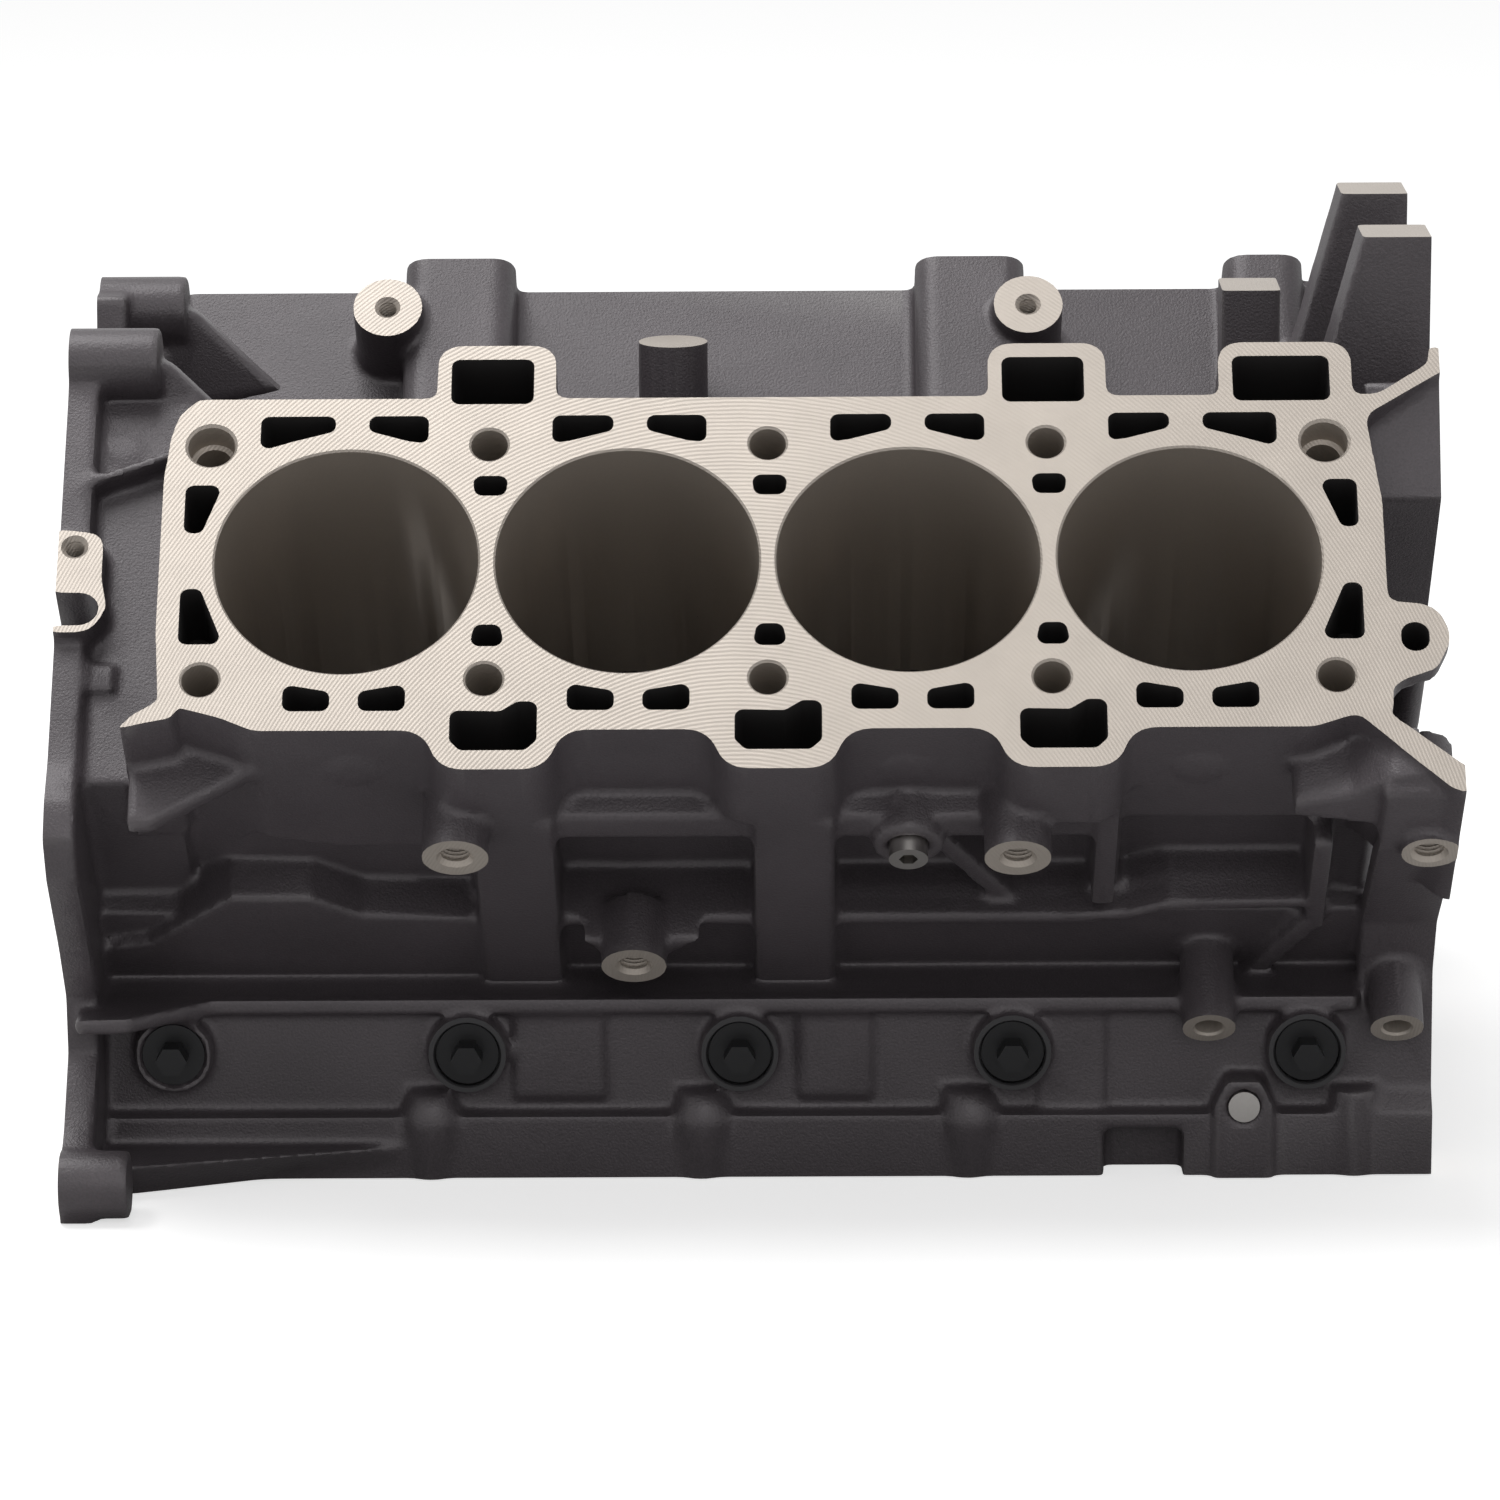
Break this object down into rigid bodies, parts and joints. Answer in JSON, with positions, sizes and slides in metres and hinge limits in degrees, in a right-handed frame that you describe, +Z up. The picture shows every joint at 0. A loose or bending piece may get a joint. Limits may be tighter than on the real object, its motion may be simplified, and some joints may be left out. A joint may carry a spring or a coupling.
{
  "type": "engine block",
  "caption": "V-type cylinder block casting with machined decks, oil return columns, deep skirts, main bearing caps, cross bolts and plugs.",
  "frame": {"origin": "crankshaft axis at the centre of the middle main bearing", "axes": "+X along the crankshaft towards the timing end, +Z up between the banks, +Y towards the far bank"},
  "size_m": [0.5, 0.4596, 0.3385],
  "materials": {
    "black_steel": "black oxide",
    "bolt_steel": "phosphated",
    "bright_steel": "zinc plated",
    "cap_iron": "cast and machined",
    "cast_iron": "sand cast, machined faces bright"
  },
  "bodies": {
    "root": {"cap_bolts_1": "bolt_steel", "cap_bolts_2": "bolt_steel", "cap_bolts_3": "bolt_steel", "cap_bolts_4": "bolt_steel", "cap_bolts_5": "bolt_steel", "cross_bolts_1": "black_steel", "cross_bolts_2": "black_steel", "cross_bolts_3": "black_steel", "cross_bolts_4": "black_steel", "cross_bolts_5": "black_steel", "cylinder_block": "cast_iron", "gallery_plug": "bright_steel", "main_cap_1": "cap_iron", "main_cap_2": "cap_iron", "main_cap_3": "cap_iron", "main_cap_4": "cap_iron", "main_cap_5": "cap_iron", "side_plugs": "bright_steel"}
  },
  "joints": []
}
